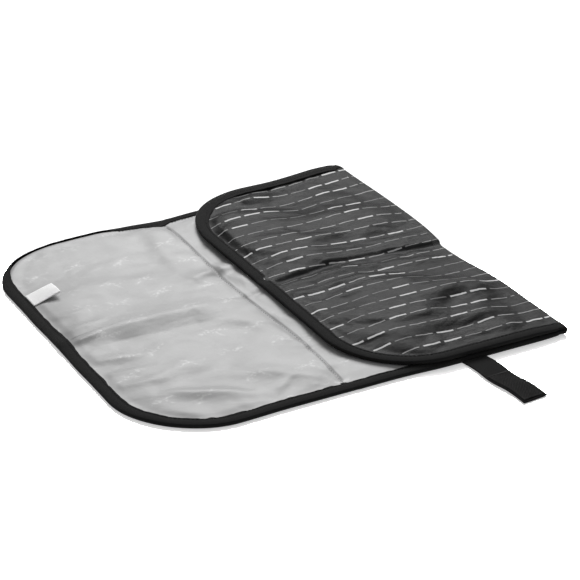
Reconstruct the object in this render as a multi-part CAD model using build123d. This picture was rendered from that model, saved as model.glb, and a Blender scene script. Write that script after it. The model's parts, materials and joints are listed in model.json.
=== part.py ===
"""A padded travel changing mat that folds in three, then in half, and is held shut by a strap.

Row frame, millimetres: +X runs along the mat from the open left panel to the fold on the right, +Y runs from
the near edge to the far edge, +Z is up. The origin is on the rest plane, at the middle of the middle panel's
near edge. The mat is modelled as it lies ready for use: left and middle panels flat with the lining up, and
the right panel folded over the middle one with its outer cloth up.

Every panel is cut in two along the lengthwise crease, so the six cells are the rigid pieces that fold.
"""

import os

from build123d import *

# ---- driving dimensions --------------------------------------------------------------------------
PAD_WIDTH = 400.0  # near edge to far edge
MIDDLE_LENGTH = 218.0  # between the two cross seams
LEFT_LENGTH = 192.0  # left panel, seam to bound end
RIGHT_LENGTH = 202.0  # right panel, seam to bound end
CORNER_RADIUS = 85.0

SHELL = 0.35  # printed outer cloth
LINING = 0.30  # coated wipe-clean lining
FOAM = 2.25
PLY_GAP = 0.05  # air between two plies, so that they touch without sharing volume

BINDING_WIDTH = 12.0
BINDING_TAPE = 0.40
THREAD_HEIGHT = 0.20
THREAD_WIDTH = 0.50
THREAD_FROM_TAPE_EDGE = 1.5
PATCH_THREAD = 0.12  # how far the stitches of a sewn-on patch stand out of it

SEAM_GAP = 0.6  # between two panels at a cross seam
CREASE_GAP = 0.3  # between the near and the far half of a panel
LAYER_GAP = 0.6  # between the middle panel and the right panel folded on it
LABEL_LAYER_GAP = 1.0  # between the right panel and the left panel folded on it

STRAP_WIDTH = 26.0
STRAP_LENGTH = 88.0
STRAP_X = 13.0
WEBBING = 1.4
HOOK_TAPE = 1.2
HOOK_TAPE_LENGTH = 50.0
STRAP_END_MARGIN = 2.0

LABEL_WIDTH = 23.0
LABEL_LENGTH = 29.0
LABEL_THICKNESS = 0.4
LABEL_ROOT_GAP = 0.6  # binding edge to the label's fold
LABEL_Y = 290.0

LOOP_PATCH = 0.30
LOOP_PATCH_LENGTH = 48.0
SEW_MARGIN = 1.5  # a patch's edge to its ring of stitches

# ---- heights and places that follow from them ----------------------------------------------------
CREASE_Y = PAD_WIDTH / 2
LEFT_SEAM_X = -MIDDLE_LENGTH / 2
RIGHT_SEAM_X = MIDDLE_LENGTH / 2
LEFT_END_X = LEFT_SEAM_X - LEFT_LENGTH
RIGHT_END_X = RIGHT_SEAM_X + RIGHT_LENGTH

SHELL_Z = BINDING_TAPE + PLY_GAP
FOAM_Z = SHELL_Z + SHELL + PLY_GAP
LINING_Z = FOAM_Z + FOAM + PLY_GAP
EDGE_HEIGHT = LINING_Z + LINING + PLY_GAP + BINDING_TAPE

# Hinge axes. Each one lies midway between the two faces that meet when its fold is closed.
RIGHT_FOLD_Z = EDGE_HEIGHT + LAYER_GAP / 2
RIGHT_TOP_Z = 2 * RIGHT_FOLD_Z
LEFT_FOLD_Z = (EDGE_HEIGHT + RIGHT_TOP_Z + LABEL_LAYER_GAP) / 2
LEFT_TOP_Z = 2 * LEFT_FOLD_Z
CREASE_Z = LEFT_TOP_Z + LAYER_GAP / 2
PACK_HEIGHT = 2 * CREASE_Z

STRAP_TOP_Z = PLY_GAP + WEBBING
STRAP_GAP = 0.4  # strap to binding, and between the strap's two lengths

# The strap hinges at its root, then again where it turns over the top of the packed mat.
STRAP_ROOT_Z = STRAP_TOP_Z + STRAP_GAP / 2
STRAP_RISE = PACK_HEIGHT + HOOK_TAPE - STRAP_ROOT_Z  # root hinge to upper hinge

PANELS = {"left": (LEFT_END_X, LEFT_SEAM_X), "middle": (LEFT_SEAM_X, RIGHT_SEAM_X),
          "right": (RIGHT_SEAM_X, RIGHT_END_X)}
HALVES = {"near": (0.0, CREASE_Y), "far": (CREASE_Y, PAD_WIDTH)}
RIGHT_FOLD_AXIS = Axis((RIGHT_SEAM_X, 0, RIGHT_FOLD_Z), (0, 1, 0))
HALF_TURN = 180.0


# ---- building blocks -----------------------------------------------------------------------------
def block(x_range, y_range, z_range):
    """A box between three pairs of limits."""
    size = [high - low for low, high in (x_range, y_range, z_range)]
    centre = [(high + low) / 2 for low, high in (x_range, y_range, z_range)]
    return Pos(*centre) * Box(*size)


def mat_slab(inset, z_low, z_high):
    """The whole open mat's rounded outline, drawn in by inset, between two heights."""
    length = RIGHT_END_X - LEFT_END_X - 2 * inset
    width = PAD_WIDTH - 2 * inset
    middle = (LEFT_END_X + RIGHT_END_X) / 2
    outline = Pos(middle, PAD_WIDTH / 2, z_low) * RectangleRounded(length, width, CORNER_RADIUS - inset)
    return extrude(outline, z_high - z_low)


def cell(panel, half):
    """The space that one half of one panel may fill, with half of each fold's gap taken off its sides."""
    x_low, x_high = PANELS[panel]
    y_low, y_high = HALVES[half]
    if panel != "left":
        x_low += SEAM_GAP / 2
    if panel != "right":
        x_high -= SEAM_GAP / 2
    if half == "near":
        y_high -= CREASE_GAP / 2
    else:
        y_low += CREASE_GAP / 2
    return block((x_low, x_high), (y_low, y_high), (0, 2 * EDGE_HEIGHT))


def folded_as_used(panel, solid):
    """Turns a right panel piece over onto the middle panel. The other panels stay flat."""
    if panel == "right":
        return solid.rotate(RIGHT_FOLD_AXIS, HALF_TURN)
    return solid


# ---- the plies and the tape of one cell ----------------------------------------------------------
def ply(z_low, thickness):
    """One cloth or foam layer of the whole mat, which ends inside the binding's fold."""
    return mat_slab(BINDING_TAPE + PLY_GAP, z_low, z_low + thickness)


def binding_tape():
    """The edge tape of the whole mat: a C-section that wraps the edge of all three plies."""
    outside = mat_slab(0, 0, EDGE_HEIGHT) - mat_slab(BINDING_WIDTH, 0, EDGE_HEIGHT)
    return outside - mat_slab(BINDING_TAPE, BINDING_TAPE, EDGE_HEIGHT - BINDING_TAPE)


def binding_thread():
    """The row of stitches that holds the tape, as one thin ring on the tape's upper leaf."""
    outer = BINDING_WIDTH - THREAD_FROM_TAPE_EDGE - THREAD_WIDTH
    top = EDGE_HEIGHT + THREAD_HEIGHT
    return mat_slab(outer, EDGE_HEIGHT, top) - mat_slab(outer + THREAD_WIDTH, EDGE_HEIGHT, top)


def seam_thread(seam_x, half):
    """A cross seam's stitches in one half, on the lining and on the outer cloth, inside the middle panel."""
    inward = 1 if seam_x < 0 else -1
    first = seam_x + inward * (SEAM_GAP / 2 + THREAD_FROM_TAPE_EDGE)
    x_range = sorted((first, first + inward * THREAD_WIDTH))
    y_low, y_high = HALVES[half]
    if half == "near":
        y_range = (BINDING_WIDTH + PLY_GAP, y_high - CREASE_GAP)
    else:
        y_range = (y_low + CREASE_GAP, PAD_WIDTH - BINDING_WIDTH - PLY_GAP)
    lining_top = LINING_Z + LINING
    return Compound([block(x_range, y_range, (lining_top, lining_top + THREAD_HEIGHT)),
                     block(x_range, y_range, (SHELL_Z - THREAD_HEIGHT, SHELL_Z))])


# ---- strap, hook and loop, label -----------------------------------------------------------------
def strap_length(start, end):
    """Webbing between two distances from the near edge, lying straight out from the mat."""
    x_range = (STRAP_X - STRAP_WIDTH / 2, STRAP_X + STRAP_WIDTH / 2)
    return block(x_range, (-end, -start), (PLY_GAP, STRAP_TOP_Z))


def hook_tape_area():
    """Where the hook tape is sewn: on the strap's free end, on the face that meets the loop patch."""
    half_width = STRAP_WIDTH / 2 - STRAP_END_MARGIN
    outer = -STRAP_LENGTH + STRAP_END_MARGIN
    return (STRAP_X - half_width, STRAP_X + half_width), (outer, outer + HOOK_TAPE_LENGTH)


def loop_patch_area():
    """Where the loop patch is sewn: under the middle panel's far half, where the wrapped strap lands."""
    far = PAD_WIDTH - BINDING_WIDTH - STRAP_END_MARGIN
    return (STRAP_X - STRAP_WIDTH / 2, STRAP_X + STRAP_WIDTH / 2), (far - LOOP_PATCH_LENGTH, far)


def stitch_ring(area, z_range):
    """A rectangle of stitches just inside a patch's edge."""
    (x_low, x_high), (y_low, y_high) = area
    rings = []
    for inset in (SEW_MARGIN, SEW_MARGIN + THREAD_WIDTH):
        rings.append(block((x_low + inset, x_high - inset), (y_low + inset, y_high - inset), z_range))
    return rings[0] - rings[1]


def care_label():
    """A doubled ribbon label that comes out from under the binding of the left end and lies on the lining."""
    root = LEFT_END_X + BINDING_WIDTH + LABEL_ROOT_GAP
    z_low = EDGE_HEIGHT + PLY_GAP
    return block((root, root + LABEL_LENGTH), (LABEL_Y - LABEL_WIDTH / 2, LABEL_Y + LABEL_WIDTH / 2),
                 (z_low, z_low + LABEL_THICKNESS))


# ---- the assembly --------------------------------------------------------------------------------
def all_parts():
    """Every node's shape by name, at rest."""
    layers = {"shell": ply(SHELL_Z, SHELL), "foam": ply(FOAM_Z, FOAM), "lining": ply(LINING_Z, LINING),
              "binding": binding_tape(), "binding_thread": binding_thread()}
    parts = {}
    for panel in PANELS:
        for half in HALVES:
            space = cell(panel, half)
            for layer, whole in layers.items():
                parts[f"{panel}_{half}_{layer}"] = folded_as_used(panel, whole & space)
    for side, seam_x in (("left", LEFT_SEAM_X), ("right", RIGHT_SEAM_X)):
        for half in HALVES:
            parts[f"{side}_seam_thread_{half}"] = seam_thread(seam_x, half)
    parts["strap_rise"] = strap_length(STRAP_GAP, STRAP_RISE)
    parts["strap_tab"] = strap_length(STRAP_RISE + STRAP_GAP, STRAP_LENGTH)
    hook_z = STRAP_TOP_Z + HOOK_TAPE
    patch_z = SHELL_Z - LOOP_PATCH
    parts["hook_tape"] = block(*hook_tape_area(), (STRAP_TOP_Z, hook_z))
    parts["hook_tape_thread"] = stitch_ring(hook_tape_area(), (hook_z, hook_z + PATCH_THREAD))
    parts["loop_patch"] = block(*loop_patch_area(), (patch_z, SHELL_Z))
    parts["loop_patch_thread"] = stitch_ring(loop_patch_area(), (patch_z - PATCH_THREAD, patch_z))
    parts["care_label"] = care_label()
    return parts


os.makedirs("parts", exist_ok=True)
for node, shape in all_parts().items():
    export_step(shape, f"parts/{node}.step")
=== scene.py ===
"""The looks of a travel changing mat: satin lining, printed outer cloth, bound edges, strap and label.

Lengths in this script are millimetres in the row frame, and are turned into metres where Blender needs them.
The mat lies as in use: left and middle panels open, right panel folded over with its outer cloth up.
"""

import json
import math

import bpy
import numpy as np
from mathutils import Matrix, Vector


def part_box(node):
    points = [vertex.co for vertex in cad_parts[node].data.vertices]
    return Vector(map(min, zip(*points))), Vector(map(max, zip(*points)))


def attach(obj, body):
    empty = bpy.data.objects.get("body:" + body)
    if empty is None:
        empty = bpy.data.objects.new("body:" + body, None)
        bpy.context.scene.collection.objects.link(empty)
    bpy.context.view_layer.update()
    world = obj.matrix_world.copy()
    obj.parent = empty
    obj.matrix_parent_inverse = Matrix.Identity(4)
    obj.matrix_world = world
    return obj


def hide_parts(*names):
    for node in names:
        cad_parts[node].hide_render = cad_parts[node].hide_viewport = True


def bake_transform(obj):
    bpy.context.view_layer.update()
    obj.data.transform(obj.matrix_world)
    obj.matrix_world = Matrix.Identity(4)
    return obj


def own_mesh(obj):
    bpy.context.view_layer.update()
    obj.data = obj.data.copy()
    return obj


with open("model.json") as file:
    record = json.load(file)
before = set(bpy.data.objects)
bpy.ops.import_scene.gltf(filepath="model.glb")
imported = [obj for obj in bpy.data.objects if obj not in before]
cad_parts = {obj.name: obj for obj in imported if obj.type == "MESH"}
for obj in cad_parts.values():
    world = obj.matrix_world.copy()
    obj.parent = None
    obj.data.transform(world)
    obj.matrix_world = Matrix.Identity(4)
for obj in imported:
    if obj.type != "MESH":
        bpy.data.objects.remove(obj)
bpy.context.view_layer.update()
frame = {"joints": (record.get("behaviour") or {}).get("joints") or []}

MM = 0.001
HALVES = ("near", "far")


# ---- measures taken from the CAD frame ----
def node_box(node):
    """Lowest and highest corner of a CAD node, in millimetres."""
    low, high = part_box(node)
    return np.array(low) / MM, np.array(high) / MM


def joint_place(name):
    """A joint's place, in millimetres."""
    joint = next(j for j in frame["joints"] if j["name"] == name)
    return np.array(joint["pos_m"]) / MM


MIDDLE_TAPE_LOW, MIDDLE_TAPE_HIGH = node_box("middle_near_binding")
RIGHT_TAPE_LOW, RIGHT_TAPE_HIGH = node_box("right_near_binding")
LEFT_END = node_box("left_near_binding")[0][0]
FREE_END = RIGHT_TAPE_LOW[0]
SEAM_X = joint_place("left_fold")[0]
FOLD_X = joint_place("right_fold")[0]
CREASE_Y = joint_place("crease_fold")[1]
WIDTH = node_box("middle_far_binding")[1][1]
TAPE_WIDTH = MIDDLE_TAPE_HIGH[1] - MIDDLE_TAPE_LOW[1]
EDGE_TOP = MIDDLE_TAPE_HIGH[2]
RIGHT_LOW = RIGHT_TAPE_LOW[2]
RIGHT_TOP = RIGHT_TAPE_HIGH[2]
LINING_TOP = node_box("middle_near_lining")[1][2]
SHELL_LOW = node_box("middle_near_shell")[0][2]
RIGHT_SHELL = node_box("right_near_shell")[1][2]
RIGHT_LINING = node_box("right_near_lining")[0][2]
CORNER_RADIUS = 85.0

CREASE_ZONE = 12.0  # the middle panel's cloth bends over this much on either side of the crease
SEAM_ZONE = 6.0  # the same beside the left seam
FOLD_STRIP = 6.0  # how far the strip round the right fold reaches in from it
SEAM_LOW, SEAM_HIGH = SEAM_X - SEAM_ZONE, SEAM_X + SEAM_ZONE
FOLD_INNER = FOLD_X - FOLD_STRIP
TUCK = 6.0  # cloth edges end this far in from the mat's outline, hidden inside the binding


# ---- smooth numbers ----
def smoothstep(t):
    """0 below 0, 1 above 1, with level ends."""
    t = np.clip(t, 0, 1)
    return t * t * (3 - 2 * t)


def bell(distance, width):
    """1 at no distance, a third at the given width, and soon 0 beyond it."""
    return np.exp(-(distance / width) ** 2)


def lattice_value(i, j, seed):
    """A repeatable number from -1 to 1 for every lattice point."""
    h = np.sin(i * 127.1 + j * 311.7 + seed * 74.7) * 43758.5453
    return 2 * (h - np.floor(h)) - 1


def noise(x, y, size, seed):
    """Smooth noise from -1 to 1 with lumps of about the given size."""
    u, v = np.asarray(x, float) / size, np.asarray(y, float) / size
    i, j = np.floor(u), np.floor(v)
    a, b = smoothstep(u - i), smoothstep(v - j)
    low = lattice_value(i, j, seed) * (1 - a) + lattice_value(i + 1, j, seed) * a
    high = lattice_value(i, j + 1, seed) * (1 - a) + lattice_value(i + 1, j + 1, seed) * a
    return low * (1 - b) + high * b


def fold_field(x, y, folds):
    """Sum of soft folds: each has a start, control and end point, a height, and a width on either side."""
    total = np.zeros(np.broadcast(x, y).shape)
    t = np.linspace(0, 1, 41)
    for start, control, end, height, left_width, right_width in folds:
        a, b, c = (np.array(p, float) for p in (start, control, end))
        line = np.outer((1 - t) ** 2, a) + np.outer(2 * t * (1 - t), b) + np.outer(t * t, c)
        tangent = np.outer(1 - t, b - a) + np.outer(t, c - b)
        dx = x[..., None] - line[:, 0]
        dy = y[..., None] - line[:, 1]
        nearest = np.argmin(dx * dx + dy * dy, axis=-1)
        near_x = np.take_along_axis(dx, nearest[..., None], -1)[..., 0]
        near_y = np.take_along_axis(dy, nearest[..., None], -1)[..., 0]
        side = tangent[nearest, 0] * near_y - tangent[nearest, 1] * near_x
        distance = np.hypot(near_x, near_y) / np.where(side > 0, left_width, right_width)
        taper = np.sin(np.pi * np.clip(t[nearest], 0.02, 0.98)) ** 0.6
        total += height * taper * np.exp(-np.sqrt(distance ** 2 + 0.05) ** 1.6)
    return total


# ---- the mat's outline ----
def edge_distance(x, y, x_end):
    """How far a point lies in from the outline of a mat whose rounded end is at x_end."""
    px = x - x_end
    py = np.minimum(y, WIDTH - y)
    corner = CORNER_RADIUS - np.hypot(CORNER_RADIUS - px, CORNER_RADIUS - py)
    return np.where((px < CORNER_RADIUS) & (py < CORNER_RADIUS), corner, np.minimum(px, py))


def edge_position(x, y, x_end):
    """How far along the outline its nearest point lies, from the middle of the end towards either side."""
    px = x - x_end
    py = np.minimum(y, WIDTH - y)
    angle = np.arctan2(np.maximum(CORNER_RADIUS - py, 0), np.maximum(CORNER_RADIUS - px, 1e-6))
    along_end = WIDTH / 2 - np.maximum(py, CORNER_RADIUS)
    along_side = np.maximum(px - CORNER_RADIUS, 0)
    other_side = np.where(y > WIDTH / 2, 1000.0, 0.0)  # so that the two sides' gathers differ
    return along_end + angle * CORNER_RADIUS + along_side + other_side


def inside_binding(x, y, x_end):
    """0 at the binding's inner edge, 1 further in, for what must not lift the cloth's sewn border."""
    return smoothstep((edge_distance(x, y, x_end) - TAPE_WIDTH * 0.75) / 12.0)


def grid_faces(rows, columns, close_columns=False, flip=False):
    """Quads of a grid of points stored row by row."""
    i = np.arange(rows - 1)
    j = np.arange(columns if close_columns else columns - 1)
    i, j = np.meshgrid(i, j, indexing="ij")
    next_j = (j + 1) % columns
    corners = [i * columns + j, (i + 1) * columns + j, (i + 1) * columns + next_j, i * columns + next_j]
    if flip:
        corners.reverse()
    return np.stack(corners, axis=-1).reshape(-1, 4).tolist()


# ---- wrinkles from a cloth simulation ----
SIM_STEP = 5.0
SIM_FRAMES = 26
CLOTH_SETTINGS = {"quality": 6, "mass": 0.2, "tension_stiffness": 40, "compression_stiffness": 40,
                  "shear_stiffness": 12, "bending_stiffness": 0.6, "air_damping": 3}


class Wrinkles:
    """Height of loose cloth that is sewn down along its border and one line, found by simulation."""

    def __init__(self, name, x_low, sewn_axis, sewn_at, slack, seed):
        self.x_low = x_low
        self.rows = int((FOLD_X - x_low) / SIM_STEP) + 1
        self.columns = int(WIDTH / SIM_STEP) + 1
        self.height = np.zeros((self.rows, self.columns))
        self.simulate(name, sewn_axis, sewn_at, slack, seed)

    def simulate(self, name, sewn_axis, sewn_at, slack, seed):
        x = self.x_low + np.arange(self.rows) * SIM_STEP
        y = np.arange(self.columns) * SIM_STEP
        x, y = np.meshgrid(x, y, indexing="ij")
        start = 1.2 * noise(x, y, 48, seed) + 0.5 * noise(x, y * 1.3, 19, seed + 1)
        held = np.abs((x if sewn_axis == "x" else y) - sewn_at) < SIM_STEP / 2
        held[[0, -1], :] = True
        held[:, [0, -1]] = True
        start[held] = 0
        mesh = bpy.data.meshes.new(name)
        points = np.stack([x, y, start], axis=-1).reshape(-1, 3) * MM
        mesh.from_pydata(points.tolist(), [], grid_faces(self.rows, self.columns))
        obj = bpy.data.objects.new(name, mesh)
        scene = bpy.context.scene
        scene.collection.objects.link(obj)
        group = obj.vertex_groups.new(name="held")
        group.add([int(i) for i in np.where(held.ravel())[0]], 1.0, "REPLACE")
        cloth = obj.modifiers.new("cloth", "CLOTH")
        for setting, value in CLOTH_SETTINGS.items():
            setattr(cloth.settings, setting, value)
        cloth.settings.vertex_group_mass = "held"
        cloth.settings.shrink_min = -slack
        cloth.settings.shrink_max = -slack
        cloth.settings.effector_weights.gravity = 0
        cloth.collision_settings.use_collision = False
        cloth.point_cache.frame_start = 1
        cloth.point_cache.frame_end = SIM_FRAMES
        for number in range(1, SIM_FRAMES + 1):
            scene.frame_set(number)
        settled = obj.evaluated_get(bpy.context.evaluated_depsgraph_get()).data
        heights = np.array([v.co.z for v in settled.vertices]) / MM
        scene.frame_set(1)
        bpy.data.objects.remove(obj)
        self.height = heights.reshape(self.rows, self.columns)

    def __call__(self, x, y):
        """Height at a place, with the grid's values smoothly joined."""
        u = np.clip((np.asarray(x, float) - self.x_low) / SIM_STEP, 0, self.rows - 1.001)
        v = np.clip(np.asarray(y, float) / SIM_STEP, 0, self.columns - 1.001)
        i, j = np.floor(u).astype(int), np.floor(v).astype(int)
        total = 0.0
        for di, wi in enumerate(cubic_weights(u - i)):
            for dj, wj in enumerate(cubic_weights(v - j)):
                row = np.clip(i + di - 1, 0, self.rows - 1)
                column = np.clip(j + dj - 1, 0, self.columns - 1)
                total = total + wi * wj * self.height[row, column]
        return total


def cubic_weights(t):
    """Weights of four neighbours in a smooth cubic curve."""
    return ((1 - t) ** 3 / 6, (3 * t ** 3 - 6 * t ** 2 + 4) / 6,
            (-3 * t ** 3 + 3 * t ** 2 + 3 * t + 1) / 6, t ** 3 / 6)


LINING_WRINKLES = Wrinkles("lining_sim", LEFT_END, "x", SEAM_X + 1, 0.018, 100)
OUTER_WRINKLES = Wrinkles("outer_sim", FREE_END, "y", CREASE_Y + 10, 0.022, 200)


# ---- heights of the cloth ----
LINING_FOLDS = [
    ((-121, 392), (-150, 300), (-134, 232), 2.9, 18, 12),
    ((-144, 248), (-114, 262), (-84, 264), 4.4, 11, 6),
    ((-176, 174), (-118, 170), (-112, 84), 2.0, 18, 10),
    ((-192, 74), (-150, 56), (-120, 22), 2.6, 14, 9),
    ((-262, 70), (-222, 52), (-180, 28), 4.2, 9, 10),
    ((-292, 192), (-276, 190), (-258, 194), 2.4, 5, 4),
    ((-290, 152), (-266, 144), (-230, 138), 2.0, 9, 6),
    ((-290, 124), (-270, 118), (-240, 116), 1.4, 7, 5),
    ((-289, 244), (-272, 242), (-248, 240), 2.2, 9, 7),
    ((-288, 212), (-268, 212), (-236, 218), 1.5, 8, 6),
    ((-286, 100), (-266, 92), (-236, 90), 1.5, 8, 6),
    ((-168, 26), (-160, 34), (-140, 44), 1.3, 5, 4),
    ((-104, 250), (-98, 230), (-84, 214), 2.0, 7, 6),
    ((-104, 160), (-98, 140), (-86, 110), 1.2, 7, 6),
    ((-240, 330), (-200, 322), (-160, 350), 1.4, 18, 14),
    ((-270, 290), (-230, 268), (-180, 262), 1.3, 20, 14),
    ((-262, 96), (-220, 104), (-150, 96), 1.5, 20, 14),
    ((-240, 150), (-200, 130), (-150, 134), 1.4, 18, 14),
]

SHELL_FOLDS = [
    ((-84, 186), (0, 196), (104, 178), 3.2, 6, 9),
    ((-84, 168), (-20, 172), (60, 158), 3.4, 7, 7),
    ((-82, 368), (-40, 362), (36, 368), 5.0, 10, 7),
    ((-82, 346), (-40, 334), (20, 322), 5.0, 13, 8),
    ((-80, 318), (-10, 306), (80, 300), 4.6, 17, 10),
    ((-80, 268), (-10, 260), (90, 266), 4.8, 20, 11),
    ((0, 396), (50, 392), (100, 384), 2.8, 10, 9),
    ((-60, 240), (0, 238), (96, 232), 2.8, 9, 7),
    ((-64, 140), (-20, 148), (60, 134), 4.0, 13, 8),
    ((-56, 106), (20, 118), (108, 96), 6.4, 24, 13),
    ((-66, 92), (-20, 84), (60, 60), 5.0, 14, 9),
    ((-30, 54), (30, 60), (100, 44), 3.6, 11, 9),
    ((-20, 28), (30, 28), (90, 26), 2.4, 8, 7),
]

LINING_SIM_SHARE = 0.3
OUTER_SIM_SHARE = 0.55
LIFT = 2.8  # how far the folded right panel's free and far edges stand off the middle panel
LIFT_START = 215.0  # where along Y the far half begins to rise
FOLD_DIP = 1.3  # how much thinner the folded right panel is at its fold
HIGHEST = 16.5  # the tallest folds stop about here
SUNK = 1.2  # how far the cloth between the folds lies below its padding's full height
COVER_SPACE = 0.35  # between the covered lining and the panel that lies on it
THIN = 1.1  # least padding in the right panel


def seam_line(y):
    """The left cross seam's place along X: it is sewn a little off straight."""
    wander = 3.0 * np.sin(np.pi * y / WIDTH) * np.sin(2.2 * np.pi * y / WIDTH + 0.6)
    return SEAM_X + wander - 2.5 * bell(y, 50.0)


def edge_puckers(x, y, x_end, seed):
    """Little gathers that run in from the binding."""
    distance = edge_distance(x, y, x_end) - TAPE_WIDTH
    along = edge_position(x, y, x_end)
    reach = 9 + 7 * noise(along, 0, 26, seed + 3)
    gather = noise(along, distance * 0.15, 8, seed) + 0.6 * noise(along, 0, 15, seed + 1)
    return 0.75 * gather * np.exp(-np.maximum(distance, 0) / reach)


def crown(x, y, x_end):
    """How the padding swells between the binding and the middle of the panel."""
    distance = edge_distance(x, y, x_end) - TAPE_WIDTH * 0.8
    return 1.1 * (1 - np.exp(-np.maximum(distance, 0) / 15.0))


def far_roll(x, y):
    """The left panel's far edge rolls away from the near side, so its padding hides part of the binding."""
    along = smoothstep((y - 300) / 70.0) * smoothstep((-140 - x) / 40.0)
    return 2.8 * along * smoothstep((x - LEFT_END + 5) / 40.0)


def crease_ridge(x, y):
    """The crease stands up in the left panel: steep towards the near edge, gentle on the far side."""
    height = 5.8 * smoothstep((x - LEFT_END + 4) / 75.0) * smoothstep((SEAM_X + 1 - x) / 62.0)
    right = smoothstep((x - LEFT_END - 40) / 110.0)
    d = y - (CREASE_Y - 3 - 2 * right)
    near = np.clip(1 - (np.sqrt(d * d + 12) - 3.5) / (19.0 + 4.0 * right), 0, 1) ** 1.15
    far = np.exp(-(np.sqrt(d * d + 36) - 6) / 36.0)
    return height * np.where(d < 0, near, far)


def lining_height(x, y):
    """Top of the lining on the left and middle panels."""
    from_seam = x - seam_line(y)
    seam = -1.0 * bell(from_seam, 1.1) - 0.5 * bell(from_seam, 7.0)
    gathers = noise(y, from_seam * 0.2, 9, 11) + 0.5 * noise(y, 0, 17, 12)
    seam_gathers = 0.9 * gathers * np.exp(-np.abs(from_seam) / 8.0)
    beside_ridge = bell(y - CREASE_Y + 8, 24.0) * (x < SEAM_X)
    wrinkles = LINING_SIM_SHARE * (1 - 0.8 * beside_ridge) * LINING_WRINKLES(x, y)
    lumps = 0.7 * noise(x, y, 70, 1) + 0.2 * noise(x + y * 0.5, y, 26, 2) + wrinkles
    soft = lumps + fold_field(x, y, LINING_FOLDS) + crease_ridge(x, y)
    calm = 1 - 0.65 * bell(from_seam, 4.0)
    middle_crease = -1.2 * bell(y - CREASE_Y, 5.0) * smoothstep((x - SEAM_X - 2) / 6.0)
    height = crown(x, y, LEFT_END) + edge_puckers(x, y, LEFT_END, 5) + seam + seam_gathers + middle_crease
    rolled = far_roll(x, y) * smoothstep(edge_distance(x, y, LEFT_END) / (TAPE_WIDTH * 0.8))
    top = LINING_TOP + inside_binding(x, y, LEFT_END) * (height + calm * soft) + rolled
    covered = smoothstep((x - FREE_END + 14) / 14.0)
    above = top - (RIGHT_LOW - COVER_SPACE + 0.9 * right_lift(x, y))
    return top - covered * (above + np.sqrt(above ** 2 + 0.3)) / 2


def underside_height(x, y):
    """Bottom of the outer cloth under the left and middle panels: near flat, as it lies on the floor."""
    seam = bell(x - seam_line(y), 3.0)
    creased = 0.5 * bell(y - CREASE_Y, 4.0)
    quilting = 0.12 * (1 + noise(x, y, 22, 21))
    return SHELL_LOW - 0.05 + seam + floor_wedge(x) + creased + quilting


def floor_wedge(x):
    """How far the middle panel rises off the floor towards the right fold."""
    return 1.1 * smoothstep((x - FOLD_X + 26) / 26.0)


def right_lift(x, y):
    """The folded right panel lies a little loose: its free edge stands off the middle panel."""
    free_edge = smoothstep(y / 120.0) * smoothstep((FOLD_X - 30 - x) / 130.0)
    far_edge = np.clip((y - LIFT_START) / (WIDTH - LIFT_START), 0, 1)
    return LIFT * np.maximum(free_edge, far_edge)


def fold_pinch(x):
    """1 at the right fold, where the padding is pinched thin, 0 away from it."""
    return smoothstep((x - FOLD_X + 34) / 34.0)


def outer_crease_y(x):
    """Where the lengthwise crease runs on the outer cloth: it wanders off the middle."""
    return CREASE_Y + 2 + 16 * smoothstep((x + 95) / 130.0) - 10 * smoothstep((x + 5) / 114.0)


def outer_crease(x, y):
    """The crease is a step: the far half stands over the near half."""
    d = y - outer_crease_y(x)
    depth = 2.1 + 0.4 * smoothstep((x + 70) / 150.0)
    far = smoothstep((d + 2.5) / 6.0) * np.exp(-np.maximum(d, 0) / 55.0)
    return depth * (far - 0.6 * bell(d + 3.5, 4.5))


def outer_height(x, y):
    """Top of the outer cloth on the folded right panel."""
    lumps = 0.6 * noise(x, y, 60, 31) + 0.3 * noise(x * 0.6, y, 21, 32) + fold_field(x, y, SHELL_FOLDS)
    height = crown(x, y, FREE_END) + edge_puckers(x, y, FREE_END, 41) + lumps
    height = height + OUTER_SIM_SHARE * OUTER_WRINKLES(x, y)
    loose = (1 - 0.75 * fold_pinch(x)) * (height - SUNK)
    top = RIGHT_SHELL + right_lift(x, y) - FOLD_DIP * fold_pinch(x)
    top = top + inside_binding(x, y, FREE_END) * (loose + outer_crease(x, y))
    lowest = inner_height(x, y) + THIN
    top = lowest + (top - lowest + np.sqrt((top - lowest) ** 2 + 0.5)) / 2
    return top - (top - HIGHEST + np.sqrt((top - HIGHEST) ** 2 + 0.8)) / 2


def inner_height(x, y):
    """The folded right panel's lining, which faces down."""
    lumps = (0.25 * noise(x, y, 45, 51) - 0.25) * (1 - fold_pinch(x))
    return RIGHT_LINING + right_lift(x, y) - 0.1 * fold_pinch(x) + inside_binding(x, y, FREE_END) * lumps


# ---- how the mat lies in its plane ----
FOLD_CORNER = 10.0  # radius of the mat's corners where the fold meets its sides


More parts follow.
